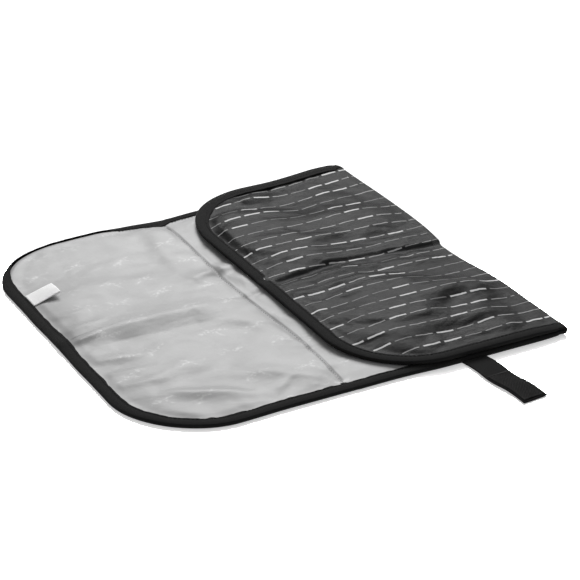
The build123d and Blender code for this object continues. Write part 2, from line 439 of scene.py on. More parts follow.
def spread(x, y, upper):
    """The mat doesn't lie square: its far side has slipped out at the fold, and the crease draws it in.

    upper is 1 on the folded right panel, 0 on the panels that lie flat, and in between round the fold.
    """
    corner = smoothstep((x - 10) / 99.0) * smoothstep((y - 230) / 170.0)
    over = 13.0 * smoothstep((y - 275) / 105.0)
    slip = 23.0 * corner * (1 - upper) + (over + 10.0 * corner) * upper
    pulled = (3.0 * bell(x + 240, 45.0) + 4.0 * bell(x - SEAM_X - 4, 28.0)) * smoothstep((y - 320) / 80.0)
    pulled += 2.0 * (bell(x + 225, 40.0) + smoothstep((x + 70) / 60.0)) * smoothstep((80 - y) / 80.0)
    slip = slip - pulled * (1 - upper)
    drawn_in = 8.0 * bell(y - CREASE_Y + 12, 45.0) + 2.0 * smoothstep((y - 300) / 100.0)
    past_x = np.maximum(x - FOLD_X + FOLD_CORNER, 0)
    past_y = np.maximum(np.abs(y - WIDTH / 2) - WIDTH / 2 + FOLD_CORNER, 0)
    past_y = past_y * np.where(y > CREASE_Y, 1.0, 0.5)
    rounding = np.maximum(past_x, past_y) / np.maximum(np.hypot(past_x, past_y), 1e-6)
    cut = np.where((past_x > 0) & (past_y > 0), 1 - rounding, 0.0)
    x = x - past_x * cut
    y = y - past_y * cut * np.sign(y - WIDTH / 2)
    return x - drawn_in * smoothstep((x - 40) / 69.0), y + slip


# ---- meshes ----
def make_mesh(name, points, faces, cloth=None, material=None):
    """A smooth-shaded object from points in millimetres. cloth is the pattern coordinate of each point."""
    points = np.asarray(points, float).reshape(-1, 3)
    mesh = bpy.data.meshes.new(name)
    mesh.from_pydata((points * MM).tolist(), [], faces)
    mesh.shade_smooth()
    layer = mesh.attributes.new("cloth", "FLOAT_VECTOR", "POINT")
    layer.data.foreach_set("vector", np.asarray(points if cloth is None else cloth, np.float32).ravel())
    obj = bpy.data.objects.new(name, mesh)
    bpy.context.scene.collection.objects.link(obj)
    if material:
        mesh.materials.append(material)
    return obj


def fit(obj, slot, body=None, *nodes):
    """Hangs a piece on the body it rides on and hides the CAD nodes it takes the place of; its slot is not
    used.
    """
    if body:
        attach(obj, body)
    if nodes:
        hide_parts(*nodes)
    return obj


def end_columns(x_end, x_high, step):
    """Columns of an end panel. Along the rounded corner they are spaced by angle."""
    radius = CORNER_RADIUS - TUCK
    arc = np.linspace(0, math.pi / 2, int(radius * math.pi / 2 / step))
    start = x_end + CORNER_RADIUS
    straight = np.linspace(start, x_high, int((x_high - start) / step) + 1)
    return np.concatenate([x_end + TUCK + radius * (1 - np.cos(arc)), straight[1:]])


def end_panel_grid(x_end, x_high, half, step):
    """Grid over one half of an end panel, from the tucked edge to the crease."""
    return column_grid(end_columns(x_end, x_high, step), x_end, half, step)


def column_grid(x, x_end, half, step):
    """Grid over one half of the mat for given columns, from the tucked edge to the crease."""
    radius = CORNER_RADIUS - TUCK
    reach = np.clip(x_end + CORNER_RADIUS - x, 0, radius)
    edge = CORNER_RADIUS - np.sqrt(np.maximum(radius ** 2 - reach ** 2, 0))
    share = np.linspace(0, 1, int(CREASE_Y / step) + 1)
    y = edge[:, None] + (CREASE_Y - edge)[:, None] * share[None, :]
    return np.broadcast_to(x[:, None], y.shape), y if half == "near" else WIDTH - y


def with_lip(x, y, z, half):
    """Carries the near half of a cut sheet on a little, just under the far half, so that no light shows."""
    if half == "near":
        y, z = y.copy(), z.copy()
        y[:, -1] += 0.7
        z[:, -1] -= 0.08
    return x, y, z


def with_wall(x, y, z, top):
    """Turns a sheet up at the crease to a height, so that no padding shows when the mat is folded there."""
    inward = np.sign(y[:, -2:-1] - y[:, -1:])
    x = np.concatenate([x, x[:, -2:]], axis=1)
    y = np.concatenate([y[:, :-1], y[:, -1:] + 0.3 * inward, y[:, -1:], y[:, -1:]], axis=1)
    return x, y, np.concatenate([z, z[:, -1:], top[:, -1:]], axis=1)


def cloth_sheet(name, x, y, z, material, unfolded=False, face_up=True):
    """One sheet of cloth over a grid of x, y and z, with its pattern laid out as the open mat."""
    pattern = np.stack([x, y, z], axis=-1)
    points = np.stack([*spread(x, y, float(unfolded)), z], axis=-1)
    if unfolded:
        pattern[..., 0] = 2 * FOLD_X - pattern[..., 0]
    area = (points[1, 0] - points[0, 0])[0] * (points[0, 1] - points[0, 0])[1]
    return make_mesh(name, points, grid_faces(*x.shape, flip=(area > 0) != face_up), pattern, material)


def slab_faces(rows, columns, flip=False):
    """Faces of a closed slab: a grid of points for its top, the same grid for its bottom, and a rim."""
    count = rows * columns
    top = grid_faces(rows, columns, flip=flip)
    bottom = [[i + count for i in face[::-1]] for face in top]
    border = [i * columns for i in range(rows)] + [(rows - 1) * columns + j for j in range(1, columns)]
    border += [i * columns + columns - 1 for i in range(rows - 2, -1, -1)] + list(range(columns - 2, 0, -1))
    rim = []
    for a, b in zip(border, border[1:] + border[:1]):
        quad = [b, a, a + count, b + count]
        rim.append(quad[::-1] if flip else quad)
    return top + bottom + rim


# ---- shader nodes ----
class Signal:
    """A shader value that can be used in sums, so that a pattern reads as its formula."""

    def __init__(self, shader, socket):
        self.shader = shader
        self.socket = socket

    def __add__(self, other):
        return self.shader.math("ADD", self, other)

    def __sub__(self, other):
        return self.shader.math("SUBTRACT", self, other)

    def __rsub__(self, other):
        return self.shader.math("SUBTRACT", other, self)

    def __mul__(self, other):
        return self.shader.math("MULTIPLY", self, other)

    def __truediv__(self, other):
        return self.shader.math("DIVIDE", self, other)


class Shader:
    """Builds one material's node tree."""

    def __init__(self, name):
        self.material = bpy.data.materials.new(name)
        self.material.use_nodes = True
        self.tree = self.material.node_tree
        self.tree.nodes.clear()
        self.output = self.tree.nodes.new("ShaderNodeOutputMaterial")
        self.surface = self.tree.nodes.new("ShaderNodeBsdfPrincipled")
        self.tree.links.new(self.surface.outputs[0], self.output.inputs["Surface"])
        self.pattern = self.node("ShaderNodeAttribute", attribute_name="cloth").outputs["Vector"]

    def node(self, kind, inputs=None, **settings):
        made = self.tree.nodes.new(kind)
        for key, value in settings.items():
            setattr(made, key, value)
        for key, value in (inputs or {}).items():
            self.set(made.inputs[key], value)
        return made

    def set(self, socket, value):
        if isinstance(value, Signal):
            value = value.socket
        if isinstance(value, bpy.types.NodeSocket):
            self.tree.links.new(value, socket)
        else:
            socket.default_value = value

    def math(self, operation, *values):
        made = self.node("ShaderNodeMath", dict(enumerate(values)), operation=operation)
        return Signal(self, made.outputs[0])

    def split(self, vector):
        made = self.node("ShaderNodeSeparateXYZ", {"Vector": vector})
        return Signal(self, made.outputs[0]), Signal(self, made.outputs[1])

    def combine(self, x, y, z=0.0):
        return self.node("ShaderNodeCombineXYZ", {"X": x, "Y": y, "Z": z}).outputs[0]

    def noise(self, scale, detail=2.0, roughness=0.5, distortion=0.0, vector=None):
        made = self.node("ShaderNodeTexNoise", {"Vector": self.pattern if vector is None else vector,
                                                "Scale": scale, "Detail": detail, "Roughness": roughness,
                                                "Distortion": distortion})
        return Signal(self, made.outputs["Fac"])

    def random(self, x, y, z=0.0):
        made = self.node("ShaderNodeTexWhiteNoise", {"Vector": self.combine(x, y, z)})
        return Signal(self, made.outputs["Value"])

    def turned(self, vector, angle):
        inputs = {"Vector": vector, "Angle": angle}
        return self.split(self.node("ShaderNodeVectorRotate", inputs, rotation_type="Z_AXIS").outputs[0])

    def mix(self, factor, a, b):
        return self.node("ShaderNodeMix", {"Factor": factor, 6: a, 7: b}, data_type="RGBA").outputs[2]

    def lerp(self, factor, a, b):
        made = self.node("ShaderNodeMapRange", {"Value": factor, "To Min": a, "To Max": b})
        return Signal(self, made.outputs["Result"])

    def step(self, value, low, high):
        made = self.node("ShaderNodeMapRange", {"Value": value, "From Min": low, "From Max": high},
                         interpolation_type="SMOOTHSTEP")
        return Signal(self, made.outputs["Result"])

    def wave(self, value, length):
        return self.math("SINE", value * (2 * math.pi / length))

    def bump(self, height, distance, strength=1.0, normal=None):
        """Relief of the given depth in millimetres, on top of another normal."""
        inputs = {"Height": height, "Distance": distance * MM, "Strength": strength}
        if normal is not None:
            inputs["Normal"] = normal
        return self.node("ShaderNodeBump", inputs).outputs["Normal"]

    def finish(self, **values):
        for key, value in values.items():
            self.set(self.surface.inputs[key.replace("_", " ")], value)
        return self.material


# ---- materials ----
def grey(value, warmth=0.0):
    return (value * (1 + warmth), value, value * (1 - warmth), 1.0)


def plain_weave(s, pitch):
    """Height of a plain weave with the given thread pitch."""
    x, y = s.split(s.pattern)
    return s.wave(x, pitch) * s.wave(y, pitch)


def crumple(s, size, depth, normal=None):
    """Creases of used satin cloth, too fine to model."""
    stretched = s.node("ShaderNodeMapping", {"Vector": s.pattern, "Scale": (1 / size, 1.7 / size, 0.0)})
    return s.bump(s.noise(1.0, 2.0, 0.5, 0.3, stretched.outputs[0]), depth, 1.0, normal)


def within(s, value, start, end):
    """1 where a value's size is below start, 0 where it is above end."""
    return 1.0 - s.step(s.math("ABSOLUTE", value), start, end)


def from_middle(s, value):
    """How far a value lies from the middle of its whole-number cell."""
    return s.math("ABSOLUTE", s.math("FRACT", value) - 0.5)


MOTIF_PITCH = 46.0


def scribble(s):
    """A faint generic motif of crossing brush strokes all over the lining, lighter than it."""
    inputs = {"Vector": s.pattern, "Scale": 1 / MOTIF_PITCH, "Randomness": 0.5}
    cell = s.node("ShaderNodeTexVoronoi", inputs, voronoi_dimensions="2D").outputs
    local = s.node("ShaderNodeVectorMath", {0: s.pattern, 1: cell["Position"]}, operation="SUBTRACT")
    x, y = s.turned(local.outputs[0], s.split(cell["Color"])[0] * 0.9 - 0.75)
    bent = y + (s.noise(0.11, 3.0) - 0.5) * 16.0
    stroke = within(s, bent, 0.5, 2.4) * within(s, x, 10.0, 18.0)
    cross = within(s, bent + x * 1.4, 0.6, 3.2) * within(s, x, 3.0, 8.0)
    return s.math("MAXIMUM", stroke, cross) * s.step(s.noise(0.35), 0.42, 0.62)


def lining_material():
    s = Shader("lining")
    motif = scribble(s)
    base = s.mix(s.noise(0.012, 3.0), grey(0.265), grey(0.315))
    wear = s.step(s.noise(0.09, 4.0, 0.6), 0.55, 0.75)
    base = s.mix(wear * 0.25, base, grey(0.39))
    colour = s.mix(motif * 0.24, base, grey(0.58))
    normal = crumple(s, 30.0, 0.7)
    normal = crumple(s, 9.0, 0.07, normal)
    normal = s.bump(plain_weave(s, 0.55), 0.03, 0.4, normal)
    rough = s.lerp(s.noise(0.05, 3.0), 0.40, 0.52) - motif * 0.08
    return s.finish(Base_Color=colour, Roughness=rough, Normal=normal, Specular_IOR_Level=0.28)


DASH_ROW = 17.0  # from one row of dashes to the next
DASH_PERIOD = 21.5  # from one dash to the next in its row
DASH_LENGTH = 0.81 * DASH_PERIOD
BOLD_FROM = 0.69  # share of the dashes that are thin


def shell_material():
    """Charcoal cloth with rows of dashes, of which some are bold and bright and most are thin and dull."""
    s = Shader("outer_cloth")
    x, y = s.split(s.pattern)
    across = (y + (s.noise(0.16) - 0.5) * 1.6) / DASH_ROW
    row = s.math("FLOOR", across)
    along = x / DASH_PERIOD + s.random(row, 3.0) * 7.0
    dash = s.math("FLOOR", along)
    bold = s.step(s.random(row, dash, 5.0), BOLD_FROM, BOLD_FROM + 0.01)
    end = from_middle(s, along) * DASH_PERIOD
    in_length = 1.0 - s.step(end, DASH_LENGTH / 2 - 0.5, DASH_LENGTH / 2 + 0.4)
    outside = from_middle(s, across) * DASH_ROW - s.lerp(bold, 0.60, 1.0)
    mark = in_length * (1.0 - s.step(outside, -0.25, 0.25))
    dull = s.lerp(s.random(row, dash, 9.0), 0.16, 0.34)
    ink = s.mix(bold, s.combine(dull, dull, dull), grey(0.56))
    base = s.mix(s.noise(0.02, 3.0), grey(0.010), grey(0.015))
    rub = s.step(s.noise(0.4, 4.0, 0.7), 0.55, 0.8)
    base = s.mix(rub * 0.2, base, grey(0.03))
    normal = crumple(s, 34.0, 1.9)
    normal = crumple(s, 8.0, 0.2, normal)
    normal = s.bump(plain_weave(s, 0.6), 0.04, 0.5, normal)
    normal = s.bump(mark, 0.05, 0.5, normal)
    return s.finish(Base_Color=s.mix(mark, base, ink), Roughness=s.lerp(s.noise(0.07, 3.0), 0.30, 0.40),
                    Normal=normal, Specular_IOR_Level=0.029)


def ribbed_material(name, base, rib, rib_depth, sheen, roughness):
    """Woven tape: ribs across its length, which runs along the pattern's X."""
    s = Shader(name)
    x, y = s.split(s.pattern)
    weave = s.wave(x, rib) * (s.wave(y, rib * 1.3) * 0.3 + 0.7)
    tone = s.noise(0.06, 4.0, 0.6)
    dust = s.step(s.noise(0.9, 3.0, 0.7), 0.6, 0.8)
    colour = s.mix(tone, grey(base), grey(base * 1.7))
    colour = s.mix(dust * 0.12, colour, grey(base * 6))
    normal = s.bump(weave, rib_depth, 0.9, s.bump(tone, 0.4, 0.5))
    rough = s.lerp(tone, roughness - 0.06, roughness + 0.08)
    return s.finish(Base_Color=colour, Roughness=rough, Normal=normal, Specular_IOR_Level=0.04,
                    Sheen_Weight=sheen, Sheen_Roughness=0.5)


def thread_material(name, base):
    s = Shader(name)
    x, y = s.split(s.pattern)
    twist = s.math("SINE", (x + y * 1.4) * 9.0)
    colour = s.mix(s.noise(0.3), grey(base), grey(base * 1.5))
    normal = s.bump(twist, 0.08, 0.7)
    return s.finish(Base_Color=colour, Roughness=0.5, Normal=normal, Specular_IOR_Level=0.05)


def foam_material():
    s = Shader("foam")
    cells = s.node("ShaderNodeTexVoronoi", {"Vector": s.pattern, "Scale": 2.4}).outputs["Distance"]
    colour = s.mix(cells, grey(0.66, 0.03), grey(0.86, 0.02))
    return s.finish(Base_Color=colour, Roughness=0.95, Normal=s.bump(cells, 0.3, 0.8))


def label_material():
    s = Shader("label")
    satin = s.math("SINE", s.split(s.pattern)[1] * 18.0)
    tone = s.noise(0.15, 3.0)
    normal = s.bump(satin, 0.04, 0.6, s.bump(tone, 0.5, 0.5))
    return s.finish(Base_Color=s.mix(tone, grey(0.80), grey(0.90)), Roughness=s.lerp(tone, 0.38, 0.5),
                    Normal=normal, Sheen_Weight=0.3)


def loop_material():
    s = Shader("loop_pile")
    fuzz = s.noise(2.2, 5.0, 0.8, 1.5)
    colour = s.mix(fuzz, grey(0.012), grey(0.045))
    return s.finish(Base_Color=colour, Roughness=0.95, Normal=s.bump(fuzz, 0.5), Sheen_Weight=0.8)


LINING = lining_material()
SHELL = shell_material()
TAPE = ribbed_material("binding_tape", 0.0075, 0.75, 0.14, 0.03, 0.75)
WEBBING = ribbed_material("webbing", 0.008, 1.3, 0.32, 0.03, 0.8)
HOOK = ribbed_material("hook_tape", 0.007, 1.6, 0.25, 0.02, 0.6)
LOOP = loop_material()
BLACK_THREAD = thread_material("black_thread", 0.009)
GREY_THREAD = thread_material("grey_thread", 0.12)
FOAM = foam_material()
LABEL = label_material()


# ---- baking pieces into place and giving them meshes of their own ----
def bend_over_crease(obj):
    """Bakes the placement of the middle panel's cloth into its mesh."""
    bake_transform(obj)


def bend_over_seam(obj):
    """Bakes the placement of cloth beside the left cross seam into its mesh."""
    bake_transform(obj)


def bend_round_fold(obj, half, height, rise=0.0):
    """Bakes the placement of cloth round the right fold into its mesh.

    Its half, height and rise are not used.
    """
    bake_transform(obj)


def press(obj):
    """Gives a piece its own copy of its mesh."""
    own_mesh(obj)


def flatten_left(obj):
    """Gives a piece of the left panel its own copy of its mesh."""
    press(obj)


def flatten_right(obj):
    """Gives a piece of the right panel its own copy of its mesh."""
    press(obj)


# ---- the cloth of the panels ----
CLOTH_STEP = 2.4
HIDDEN_STEP = 6.0


def left_panel(half):
    x, y = end_panel_grid(LEFT_END, SEAM_LOW, half, CLOTH_STEP)
    top = cloth_sheet(f"lining_left_{half}", *with_lip(x, y, lining_height(x, y), half), LINING)
    fit(top, "lining", f"left_{half}", f"left_{half}_lining")
    flatten_left(top)

    x, y = end_panel_grid(LEFT_END, SEAM_LOW, half, HIDDEN_STEP)
    walled = with_wall(x, y, underside_height(x, y), lining_height(x, y) - 0.4)
    bottom = cloth_sheet(f"outer_left_{half}", *walled, SHELL, face_up=False)
    fit(bottom, "outer_cloth", f"left_{half}", f"left_{half}_shell")

    x, y = column_grid(np.linspace(SEAM_LOW, SEAM_HIGH, 13), LEFT_END, half, CLOTH_STEP)
    strip = cloth_sheet(f"lining_seam_{half}", *with_lip(x, y, lining_height(x, y), half), LINING)
    bend_over_seam(fit(strip, "lining"))
    strip = cloth_sheet(f"outer_seam_{half}", x, y, underside_height(x, y), SHELL, face_up=False)
    bend_over_seam(fit(strip, "outer_cloth"))


def middle_panel():
    crease_low = CREASE_Y - CREASE_ZONE
    y_fine = np.linspace(crease_low, CREASE_Y + CREASE_ZONE, 17)
    for name, step, height, material, slot, layer in (
            ("lining_middle", 3.0, lining_height, LINING, "lining", "lining"),
            ("outer_middle", 5.0, underside_height, SHELL, "outer_cloth", "shell")):
        y_near = np.linspace(TUCK, crease_low, int((crease_low - TUCK) / step) + 1)
        y = np.concatenate([y_near, y_fine[1:-1], WIDTH - y_near[::-1]])
        x = np.linspace(SEAM_HIGH, FOLD_INNER, int((FOLD_INNER - SEAM_HIGH) / step) + 1)
        x, y = np.meshgrid(x, y, indexing="ij")
        sheet = cloth_sheet(name, x, y, height(x, y), material, face_up=layer == "lining")
        bend_over_crease(fit(sheet, slot, None, f"middle_near_{layer}", f"middle_far_{layer}"))


def right_panel(half):
    x, y = end_panel_grid(FREE_END, FOLD_INNER, half, CLOTH_STEP)
    grid = with_lip(x, y, outer_height(x, y), half)
    top = cloth_sheet(f"outer_right_{half}", *grid, SHELL, unfolded=True)
    flatten_right(fit(top, "outer_cloth", f"right_{half}", f"right_{half}_shell"))

    x, y = end_panel_grid(FREE_END, FOLD_INNER, half, HIDDEN_STEP)
    grid = (x, y, inner_height(x, y))
    under = cloth_sheet(f"lining_right_{half}", *grid, LINING, unfolded=True, face_up=False)
    flatten_right(fit(under, "lining", f"right_{half}", f"right_{half}_lining"))


def turn_angles(count):
    """Angles round the right fold's turn from below to above, with none near the middle of it."""
    below = np.linspace(0, math.pi / 3, count)
    return np.concatenate([below, math.pi - below[::-1]])


STRIP_POINTS = 4  # along a fold strip's straight part, on either side of its turn


def fold_strip(name, half, low_height, high_height, turn, material, slot):
    """Cloth that runs from the middle panel round the right fold and on to the right panel."""
    y = TUCK + (CREASE_Y - TUCK) * np.linspace(0, 1, int(CREASE_Y / 4.0) + 1)
    if half == "far":
        y = WIDTH - y
    straight = np.linspace(FOLD_INNER, FOLD_X, STRIP_POINTS + 1)
    columns = []
    for yy in y:
        low, high = (height(straight, np.full(len(straight), yy)) for height in (low_height, high_height))
        middle, radius = (low[-1] + high[-1]) / 2, (high[-1] - low[-1]) / 2
        xs = np.concatenate([straight[:-1], FOLD_X + radius * np.sin(turn), straight[-2::-1]])
        zs = np.concatenate([low[:-1], middle - radius * np.cos(turn), high[-2::-1]])
        columns.append(np.stack([xs, np.full(len(xs), yy), zs], axis=-1))
    points = np.array(columns)
    lengths = np.hypot(np.diff(points[0, :, 0]), np.diff(points[0, :, 2]))
    pattern = points.copy()
    pattern[..., 0] = FOLD_INNER + np.concatenate([[0], np.cumsum(lengths)])
    upper = np.concatenate([np.zeros(STRIP_POINTS), np.linspace(0, 1, len(turn)), np.ones(STRIP_POINTS)])
    points[..., 0], points[..., 1] = spread(points[..., 0], points[..., 1], upper[None, :])
    faces = grid_faces(*points.shape[:2], flip=(half == "far") != (slot == "lining"))
    return fit(make_mesh(name, points, faces, pattern, material), slot)


OUTER_PARTING = (4.05, 0.0067)  # a height and its rise along Y for the outer strip, handed to bend_round_fold, which does not use them
LINING_PARTING = (4.5, 0.0115)


def right_fold_cloth(half):
    outer = fold_strip(f"outer_fold_{half}", half, underside_height, outer_height, turn_angles(5), SHELL,
                       "outer_cloth")
    bend_round_fold(outer, half, *OUTER_PARTING)
    lining = fold_strip(f"lining_fold_{half}", half, lining_height, inner_height, turn_angles(1), LINING,
                        "lining")
    bend_round_fold(lining, half, *LINING_PARTING)


# ---- edge binding and its stitches ----
TAPE_THICK = 0.45
TAPE_STEP = 2.0
TAPE_ROLL = 2.2  # greatest radius of the tape's turn over the edge
LEAF_PLACES = np.array([1.0, 0.86, 0.8, 0.62, 0.42, 0.28])  # across a leaf, from its inner edge
LEAF_CROWN = np.array([-0.12, 0.02, -0.06, 0.32, 0.42, 0.26])
LEAF_RIPPLE = np.array([1.0, 0.6, 0.2, 0.4, 0.2, 0.0])


def tape_section(width, low, high, ripple=0.0, tilt=0.0):
    """Closed section of the binding: distance in from the edge, and height, of each of its points."""
    middle, half = (low + high) / 2, (high - low) / 2
    turn = np.linspace(-math.pi / 2, math.pi / 2, 9)
    leaf = LEAF_PLACES * width
    crowned = LEAF_CROWN + ripple * LEAF_RIPPLE + tilt * LEAF_PLACES
    roll = min(half, TAPE_ROLL)
    outer = [(n, low) for n in leaf]
    outer += [(roll * (1 - math.cos(a)), middle + half * math.sin(a)) for a in turn]
    outer += [(n, high + c) for n, c in zip(leaf[::-1], crowned[::-1])]
    inner = [(n, high + c - TAPE_THICK) for n, c in zip(leaf, crowned)]
    inner += [(roll * (1 - math.cos(a)) + TAPE_THICK, middle + (half - TAPE_THICK) * math.sin(a))
              for a in turn[::-1]]
    inner += [(n, low + TAPE_THICK) for n in leaf[::-1]]
    return np.array(outer + inner)


def tape_pattern(section, along):
    """Pattern coordinates round one section of tape."""
    around = np.concatenate([[0], np.cumsum(np.hypot(*np.diff(section, axis=0).T))])
    return np.stack([np.full(len(section), along), around, np.zeros(len(section))], axis=-1)


def tape_low(x, _):
    """Underside of the binding on the left and middle panels. It is the same all along Y."""
    return floor_wedge(x)


def tape_high(x, y):
    """Top of the binding on the left and middle panels."""
    soft = 0.35 * noise(x, y, 40, 61)
    ridge = 1.5 * bell(y - CREASE_Y + 2, 9.0) * (x < LEFT_END + 30)
    return EDGE_TOP + 0.1 - 0.15 * bell(x - SEAM_X, 4.0) + soft + ridge - 0.3 * fold_pinch(x)


def right_tape_low(x, y):
    return RIGHT_LOW + 0.1 + right_lift(x, y) + 0.1 * fold_pinch(x)


def right_tape_high(x, y):
    notch = -0.9 * bell(y - CREASE_Y - 12, 7.0) * (x < FREE_END + 30)
    return RIGHT_TOP + 0.2 + right_lift(x, y) - 1.4 * fold_pinch(x) + 0.35 * noise(x, y, 38, 62) + notch


def end_path(x_end, x_from, half):
    """Points and inward directions along an end panel's edge, from x_from on its side to the crease."""
    centre = x_end + CORNER_RADIUS
    straight = np.arange(x_from, centre, -TAPE_STEP)
    arc = np.linspace(0, math.pi / 2, int(CORNER_RADIUS * math.pi / 2 / TAPE_STEP))
    end = np.linspace(CORNER_RADIUS, CREASE_Y, int((CREASE_Y - CORNER_RADIUS) / TAPE_STEP) + 1)[1:]
    x = np.concatenate([straight, centre - CORNER_RADIUS * np.sin(arc), np.full(len(end), x_end)])
    y = np.concatenate([np.zeros(len(straight)), CORNER_RADIUS * (1 - np.cos(arc)), end])
    nx = np.concatenate([np.zeros(len(straight)), np.sin(arc), np.ones(len(end))])
    ny = np.concatenate([np.ones(len(straight)), np.cos(arc), np.zeros(len(end))])
    return (x, y, nx, ny) if half == "near" else (x, WIDTH - y, nx, -ny)


def side_path(x_high, x_low, half, count):
    """The same along a straight side of the mat."""
    x = np.linspace(x_high, x_low, count)
    inward = 1.0 if half == "near" else -1.0
    return x, np.full(count, 0.0 if half == "near" else WIDTH), np.zeros(count), np.full(count, inward)


def sweep_tape(name, edge, low, high, half, seed, upper=0.0):
    """Binding swept along an edge, with a slightly wandering inner border and gathers at its stitches."""
    x, y, nx, ny = edge
    along = np.concatenate([[0], np.cumsum(np.hypot(np.diff(x), np.diff(y)))])
    tilt = 1.15 * far_roll(x + nx * TAPE_WIDTH, y + ny * TAPE_WIDTH) * (1 - upper)
    far_side = smoothstep((y - 330) / 50.0) * (2.2 - 5.2 * upper) + 1.7 * tilt
    far_seam = 6.0 * bell(x - SEAM_X + 7, 11.0) * (y > CREASE_Y) * (1 - upper)
    width = TAPE_WIDTH - far_side + far_seam
    width = width + 0.45 * noise(along, 0, 14, seed) + 0.2 * noise(along, 0, 5, seed + 1)
    ripple = 0.28 * noise(along, 0, 4.5, seed + 2) + 0.2 * noise(along, 0, 11, seed + 3)
    wander = 0.25 * noise(along, 0, 30, seed + 4)
    rings, pattern = [], []
    for i in range(len(x)):
        section = tape_section(width[i], low[i], high[i], ripple[i], tilt[i])
        inward = section[:, 0] + wander[i]
        place = spread(x[i] + nx[i] * inward, y[i] + ny[i] * inward, upper)
        rings.append(np.stack([*place, section[:, 1]], axis=-1))
        pattern.append(tape_pattern(section, along[i]))
    faces = grid_faces(len(rings), len(rings[0]), close_columns=True, flip=half == "near")
    return fit(make_mesh(name, rings, faces, pattern, TAPE), "binding")


def turned_binding(half):
    """The binding's turn round the right fold, from the middle panel on to the right one."""
    side, inward = (0.0, 1.0) if half == "near" else (WIDTH, -1.0)
    low_out, low_in, high_in, high_out = (
        float(height(FOLD_X, side)) for height in (tape_low, tape_high, right_tape_low, right_tape_high))
    middle, outer = (low_out + high_out) / 2, (high_out - low_out) / 2
    inner = max((high_in - low_in) / 2, 0.4)
    straight = np.linspace(FOLD_INNER, FOLD_X, 4)[:-1]
    turn = turn_angles(6)
    stations = []
    for x in straight:
        section = tape_section(TAPE_WIDTH, tape_low(x, side), tape_high(x, side))
        stations.append((section, TAPE_STEP, x, section[:, 1]))
    section = tape_section(TAPE_WIDTH, -outer, -inner)
    for angle in turn:
        stations.append((section, outer * math.pi / 12, FOLD_X - section[:, 1] * math.sin(angle),
                         middle + section[:, 1] * math.cos(angle)))
    for x in straight[::-1]:
        section = tape_section(TAPE_WIDTH, -right_tape_high(x, side), -right_tape_low(x, side))
        stations.append((section, TAPE_STEP, x, -section[:, 1]))
    rings, pattern, along = [], [], 0.0
    for section, step, x, z in stations:
        along += step
        rings.append(np.stack([np.broadcast_to(x, z.shape), side + inward * section[:, 0], z], axis=-1))
        pattern.append(tape_pattern(section, along))
    points = np.array(rings)
    upper = np.concatenate([np.zeros(len(straight)), np.linspace(0, 1, len(turn)), np.ones(len(straight))])
    points[..., 0], points[..., 1] = spread(points[..., 0], points[..., 1], upper[:, None])
    faces = grid_faces(*points.shape[:2], close_columns=True, flip=half == "far")
    tape = fit(make_mesh(f"binding_fold_{half}", points, faces, pattern, TAPE), "binding")
    bend_round_fold(tape, half, middle)


def edge_runs(half, middle_points):
    """Each panel's name, edge, underside and top, its seed, and 1 for the panel that is folded over."""
    yield "left", end_path(LEFT_END, SEAM_LOW, half), tape_low, tape_high, 71, 0.0
    yield "right", end_path(FREE_END, FOLD_INNER, half), right_tape_low, right_tape_high, 81, 1.0
    yield "middle", side_path(FOLD_INNER, SEAM_HIGH, half, middle_points), tape_low, tape_high, 71, 0.0


def binding():
    for half in HALVES:
        middle_points = int((FOLD_INNER - SEAM_HIGH) / TAPE_STEP) + 1
        for panel, edge, low, high, seed, upper in edge_runs(half, middle_points):
            levels = low(*edge[:2]), high(*edge[:2])
            tape = sweep_tape(f"binding_{panel}_{half}", edge, *levels, half, seed, upper)
            fit(tape, "binding", f"{panel}_{half}", f"{panel}_{half}_binding")
            if upper:
                flatten_right(tape)
        edge = side_path(SEAM_HIGH, SEAM_LOW, half, 9)
        levels = tape_low(*edge[:2]), tape_high(*edge[:2])
        bend_over_seam(sweep_tape(f"binding_seam_{half}", edge, *levels, half, 71))
        turned_binding(half)


STITCH = 2.9
STITCH_GAP = 0.9
STITCH_ARCH = 0.28  # how far a stitch's middle stands above its ends
STITCH_SINK = 0.16  # how far its ends lie below its path
STITCH_INSET = 0.84  # where across the tape its stitches run
STITCH_PATH_POINTS = 110  # along the middle panel
THREAD_RINGS = 6
THREAD_SIDES = 6


def tube_faces(rings, sides):
    """Faces of a tube with a cap on each end."""
    last = (rings - 1) * sides
    caps = [list(range(sides)), list(range(last, last + sides))[::-1]]
    return grid_faces(rings, sides, close_columns=True) + caps


def stitch_row(name, path, material, radius, pitch=STITCH + STITCH_GAP, side=1):
    """Thread stitches along a path: each a short tube that dives into the cloth at both ends.

    side is 1 for stitches on top of the cloth and -1 for stitches under it.
    """
    path = np.stack(path, axis=-1)
    along = np.concatenate([[0], np.cumsum(np.linalg.norm(np.diff(path, axis=0), axis=1))])
    shares = np.linspace(0, 1, THREAD_RINGS)
    arch = np.sin(np.pi * shares)
    size = radius * (0.45 + 0.55 * arch ** 0.5)
    turn = np.linspace(0, 2 * math.pi, THREAD_SIDES, endpoint=False)[:, None]
    up = np.array([0, 0, side], float)
    tube = tube_faces(THREAD_RINGS, THREAD_SIDES)
    points, faces = [], []
    for start in np.arange(0.4, along[-1] - STITCH, pitch):
        place = start + shares * STITCH
        centre = np.stack([np.interp(place, along, path[:, k]) for k in range(3)], axis=-1)
        tangent = centre[-1] - centre[0]
        across = np.cross(tangent / np.linalg.norm(tangent), up)
        centre += up * (arch * STITCH_ARCH - STITCH_SINK)[:, None]
        ring = across * np.cos(turn) + up * np.sin(turn)
        faces += [[i + len(points) for i in face] for face in tube]
        points.extend((centre[:, None] + size[:, None, None] * ring).reshape(-1, 3))
    return make_mesh(name, points, faces, None, material)


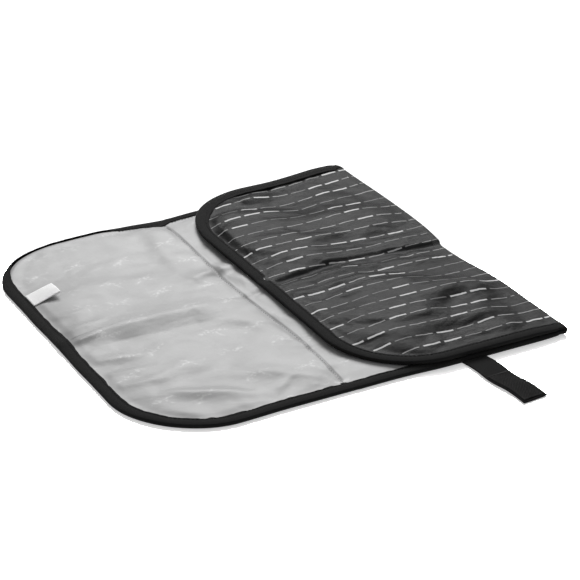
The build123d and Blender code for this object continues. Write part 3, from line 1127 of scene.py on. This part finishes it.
def binding_stitches():
    for half in HALVES:
        for panel, (x, y, nx, ny), _, high, _, upper in edge_runs(half, STITCH_PATH_POINTS):
            inset = TAPE_WIDTH * STITCH_INSET
            path = (*spread(x + nx * inset, y + ny * inset, upper), high(x, y) + 0.12)
            row = stitch_row(f"binding_stitches_{panel}_{half}", path, BLACK_THREAD, 0.28)
            fit(row, "binding_thread", f"{panel}_{half}", f"{panel}_{half}_binding_thread")
            if upper:
                flatten_right(row)


def seam_stitches():
    for half in HALVES:
        y = np.linspace(TAPE_WIDTH + 1, CREASE_Y - 0.5, 90)
        if half == "far":
            y = WIDTH - y
        for side, x in (("left", seam_line(y)), ("right", np.full(len(y), FOLD_INNER - 1.0))):
            path = (x, y, lining_height(x, y) + 0.1)
            row = stitch_row(f"seam_stitches_{side}_{half}", path, GREY_THREAD, 0.24)
            fit(row, "seam_thread", None, f"{side}_seam_thread_{half}")
            if side == "left":
                bend_over_seam(row)
            else:
                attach(row, f"middle_{half}")


# ---- strap ----
STRAP_LOW, STRAP_HIGH = node_box("strap_rise")
HOOK_LOW, HOOK_HIGH = node_box("hook_tape")
STRAP_SLANT = 0.1  # of the strap's cut end, along it for every millimetre across it
STRAP_ROOT = 1.5  # where the piece under the binding hands over to the strap
PATCH_STITCH_PITCH = 2.6


def strap_lie(d):
    """How far sideways and off the floor the strap lies, by distance from the mat's edge."""
    return 0.9 * np.sin(d / 9.0) + 0.09 * d - 2.2, 0.6 * bell(d - 26, 14.0) + 0.7 * bell(d - 60, 12.0)


def strap_band(name, d, low, high, half_width, material):
    """A woven band from distances d along the strap, with rounded selvedges."""
    middle = (STRAP_LOW[0] + STRAP_HIGH[0]) / 2
    across = np.linspace(-1, 1, 19)
    thinner = np.clip((np.abs(across) - 0.88) / 0.12, 0, 1) ** 2 * (high - low) / 2
    rings, pattern = [], []
    for value in d:
        sideways, rise = strap_lie(value)
        lie = rise + 0.25 * across ** 2
        x = middle + sideways + across * half_width
        xs = np.concatenate([x, x[-2:0:-1]])
        zs = np.concatenate([high + lie - thinner, (low + lie + thinner)[-2:0:-1]])
        slant = STRAP_SLANT * smoothstep(value / 60.0) * (xs - middle)
        rings.append(np.stack([xs, slant - value, zs], axis=-1))
        around = np.concatenate([across, across[-2:0:-1] + 3]) * half_width
        pattern.append(np.stack([np.full(len(xs), value), around, np.zeros(len(xs))], axis=-1))
    return make_mesh(name, rings, tube_faces(len(rings), len(rings[0])), pattern, material)


def strap():
    half_width = (STRAP_HIGH[0] - STRAP_LOW[0]) / 2
    length = -node_box("strap_tab")[0][1]
    levels = STRAP_LOW[2], STRAP_HIGH[2]
    band = strap_band("strap_webbing", np.linspace(STRAP_ROOT, length, 60), *levels, half_width, WEBBING)
    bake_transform(band)
    fit(band, "webbing", None, "strap_rise", "strap_tab")
    root = strap_band("strap_root", np.linspace(-4.0, STRAP_ROOT, 8), *levels, half_width, WEBBING)
    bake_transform(fit(root, "webbing"))
    tape = strap_band("hook_tape_base", np.linspace(-HOOK_HIGH[1], -HOOK_LOW[1], 30), STRAP_HIGH[2] + 0.02,
                      STRAP_HIGH[2] + 0.45, (HOOK_HIGH[0] - HOOK_LOW[0]) / 2, HOOK)
    fit(tape, "hook_tape", "strap_tab", "hook_tape")
    hooks()
    x, y = rectangle_path(HOOK_LOW, HOOK_HIGH)
    sideways, rise = strap_lie(-y)
    path = (x + sideways, y, STRAP_HIGH[2] + 0.6 + rise)
    row = stitch_row("hook_tape_stitches", path, BLACK_THREAD, 0.25, PATCH_STITCH_PITCH)
    fit(row, "patch_thread", "strap_tab", "hook_tape_thread")


def rectangle_path(low, high, inset=1.5):
    """X and Y along a rectangle just inside a patch's edge."""
    (x0, y0), (x1, y1) = low[:2] + inset, high[:2] - inset
    corners = np.array([(x0, y0), (x1, y0), (x1, y1), (x0, y1), (x0, y0)])
    shares = np.linspace(0, 1, 20, endpoint=False)[:, None]
    return np.concatenate([a + (b - a) * shares for a, b in zip(corners, corners[1:])]).T


HOOK_PITCH = 1.5
HOOK_BEND = [(0.0, 0.0), (0.05, 0.45), (0.25, 0.68), (0.5, 0.62), (0.58, 0.42)]  # forwards and up


def hooks():
    """Rows of little bent nylon hooks on the hook tape, leaning either way in turn."""
    points, faces = [], []
    tube = tube_faces(len(HOOK_BEND), 3)
    for i, x in enumerate(np.arange(HOOK_LOW[0] + 3.0, HOOK_HIGH[0] - 2.4, HOOK_PITCH)):
        for j, y in enumerate(np.arange(HOOK_LOW[1] + 3.0, HOOK_HIGH[1] - 2.6, HOOK_PITCH)):
            lean = 1 if (i + j) % 2 else -1
            sideways, rise = strap_lie(-y)
            hook_x = x + sideways + 0.2 * lattice_value(i, j, 9)
            faces += [[n + len(points) for n in face[::lean]] for face in tube]
            for k, (forward, up) in enumerate(HOOK_BEND):
                half = 0.16 - 0.02 * k
                for dx, dz in ((-half, 0.0), (half, 0.0), (0.0, half)):
                    points.append((hook_x + dx, y + lean * forward, STRAP_HIGH[2] + 0.4 + rise + up + dz))
    fit(make_mesh("hook_tape_hooks", points, faces, None, HOOK), "hook_tape", "strap_tab")


# ---- label and the patch underneath ----
def care_label():
    """A blank doubled ribbon that curls up from the binding of the left end."""
    low, high = node_box("care_label")
    u, v = np.meshgrid(np.linspace(0, 1, 26), np.linspace(0, 1, 14), indexing="ij")
    curl = 0.6 + 8.0 * u ** 1.15 + 1.2 * u * np.sin(v * math.pi + 0.5) - 1.5 * u ** 4
    x = low[0] - 0.8 + (high[0] - low[0] - 0.2) * u - 1.5 * u * u
    y = low[1] + (high[1] - low[1]) * v + 1.5 * u
    z = np.maximum(lining_height(x, y) + 0.3, LINING_TOP + curl)
    sheets = [np.stack([x, y, z + thick * (1 + 1.2 * u)], axis=-1) for thick in (0.35, 0.0)]
    label = make_mesh("care_label_ribbon", sheets, slab_faces(*u.shape), None, LABEL)
    flatten_left(fit(label, "label", "label", "care_label"))


def loop_patch():
    low, high = node_box("loop_patch")
    x, y = np.meshgrid(np.linspace(low[0], high[0], 40), np.linspace(low[1], high[1], 70), indexing="ij")
    inset = np.minimum(np.minimum(x - low[0], high[0] - x), np.minimum(y - low[1], high[1] - y))
    pile = 0.08 * lattice_value(np.round(x * 9), np.round(y * 9), 4) * smoothstep(inset / 2)
    z = low[2] + 0.02 + pile + 0.25 * (1 - smoothstep(inset / 0.6))
    patch = cloth_sheet("loop_patch_pile", x, y, z, LOOP, face_up=False)
    fit(patch, "loop_patch", "middle_far", "loop_patch")
    x, y = rectangle_path(low, high)
    path = (x, y, np.full(len(x), low[2] + 0.06))
    row = stitch_row("loop_patch_stitches", path, BLACK_THREAD, 0.2, PATCH_STITCH_PITCH, side=-1)
    fit(row, "patch_thread", "middle_far", "loop_patch_thread")


# ---- padding ----
FOAM_MARGIN = 1.5  # foam stops this far inside the tucked cloth and beside the crease


def foam_grid(panel, half):
    """Grid over the foam of one cell. It stops short of the folds, where the mat bends."""
    x_end = FREE_END if panel == "right" else LEFT_END
    if panel == "left":
        x = end_columns(x_end, SEAM_LOW - 2, HIDDEN_STEP)[2:]
    elif panel == "right":
        x = end_columns(x_end, FOLD_INNER - 12, HIDDEN_STEP)[2:]
    else:
        x = np.linspace(SEAM_HIGH + 2, FOLD_INNER - 12, 40)
    x, y = column_grid(x, x_end, half, HIDDEN_STEP / 2)
    inward = 1 if half == "near" else -1
    inner_y = CREASE_Y - inward * (CREASE_ZONE if panel == "middle" else FOAM_MARGIN)
    edge = y[:, :1] + inward * FOAM_MARGIN
    return x, edge + (inner_y - edge) * np.linspace(0, 1, y.shape[1])[None, :]


def foam(panel, half):
    x, y = foam_grid(panel, half)
    if panel == "right":
        sunk = 2.2 * bell(y - outer_crease_y(x), 12.0)
        low, high = inner_height(x, y) + 0.3, outer_height(x, y) - 0.6 - sunk
    else:
        low, high = underside_height(x, y) + 0.45, lining_height(x, y) - 0.6
    high = np.maximum(high, low + 0.3)
    place = spread(x, y, float(panel == "right"))
    sheets = [np.stack([*place, z], axis=-1) for z in (high, low)]
    flip = (x[1, 0] - x[0, 0]) * (y[0, 1] - y[0, 0]) < 0
    pad = make_mesh(f"foam_{panel}_{half}", sheets, slab_faces(*x.shape, flip), None, FOAM)
    fit(pad, "foam", f"{panel}_{half}", f"{panel}_{half}_foam")
    if panel == "left":
        flatten_left(pad)
    elif panel == "right":
        flatten_right(pad)


for half in HALVES:
    left_panel(half)
middle_panel()
for half in HALVES:
    right_panel(half)
for half in HALVES:
    right_fold_cloth(half)
binding()
binding_stitches()
seam_stitches()
strap()
care_label()
loop_patch()
for half in HALVES:
    for panel in ("left", "middle", "right"):
        foam(panel, half)


# ---- stage, light and camera ----
FLOOR_SIZE = 4000.0  # from its middle to a side
FLOOR_LEVEL = -0.15
FLOOR_GLOSS = 0.16


def floor():
    size, z = FLOOR_SIZE, FLOOR_LEVEL
    corners = [(-size, -size, z), (size, -size, z), (size, size, z), (-size, size, z)]
    obj = make_mesh("floor", corners, [(0, 1, 2, 3)])
    s = Shader("floor")
    obj.data.materials.append(s.finish(Base_Color=grey(0.8), Roughness=0.6, Specular_IOR_Level=0.0,
                                       Emission_Color=grey(1.0), Emission_Strength=0.5))
    mirror = s.node("ShaderNodeBsdfGlossy", {"Color": grey(3.6), "Roughness": 0.03})
    mixed = s.node("ShaderNodeMixShader", {0: FLOOR_GLOSS, 1: s.surface.outputs[0], 2: mirror.outputs[0]})
    s.tree.links.new(mixed.outputs[0], s.output.inputs["Surface"])


def area_light(name, place, size, power):
    data = bpy.data.lights.new(name, "AREA")
    data.shape = "RECTANGLE"
    data.size, data.size_y = size
    data.energy = power
    obj = bpy.data.objects.new(name, data)
    bpy.context.scene.collection.objects.link(obj)
    obj.location = Vector(place)
    obj.rotation_mode = "QUATERNION"
    obj.rotation_quaternion = (Vector((-0.08, 0.2, 0.0)) - Vector(place)).to_track_quat("-Z", "Y")


def lights():
    area_light("key", (0.75, 1.75, 1.35), (1.3, 1.0), 58)
    area_light("fill", (-1.3, -0.6, 1.6), (1.8, 1.8), 3)
    world = bpy.data.worlds.new("studio")
    bpy.context.scene.world = world
    world.use_nodes = True
    background = world.node_tree.nodes["Background"]
    background.inputs["Color"].default_value = (1, 1, 1, 1)
    background.inputs["Strength"].default_value = 0.34


CAMERA_PLACE = (-0.898, -1.403, 0.894)
CAMERA_YAW = 27.475  # to the right of +Y
CAMERA_PITCH = 26.33  # below the horizon
CAMERA_ROLL = -0.87
CAMERA_LENS = 133.8


def camera():
    data = bpy.data.cameras.new("camera")
    data.lens = CAMERA_LENS
    data.sensor_width = 36.0
    data.clip_start, data.clip_end = 0.05, 50
    obj = bpy.data.objects.new("camera", data)
    bpy.context.scene.collection.objects.link(obj)
    yaw, pitch, roll = (math.radians(v) for v in (CAMERA_YAW, CAMERA_PITCH, CAMERA_ROLL))
    forward = Vector((math.sin(yaw) * math.cos(pitch), math.cos(yaw) * math.cos(pitch), -math.sin(pitch)))
    level = Vector((math.cos(yaw), -math.sin(yaw), 0))
    upright = level.cross(forward)
    right = level * math.cos(roll) + upright * math.sin(roll)
    up = upright * math.cos(roll) - level * math.sin(roll)
    turn = Matrix((right, up, -forward)).transposed().to_4x4()
    obj.matrix_world = Matrix.Translation(CAMERA_PLACE) @ turn
    bpy.context.scene.camera = obj


floor()
lights()
camera()
bpy.context.scene.view_settings.view_transform = "Standard"
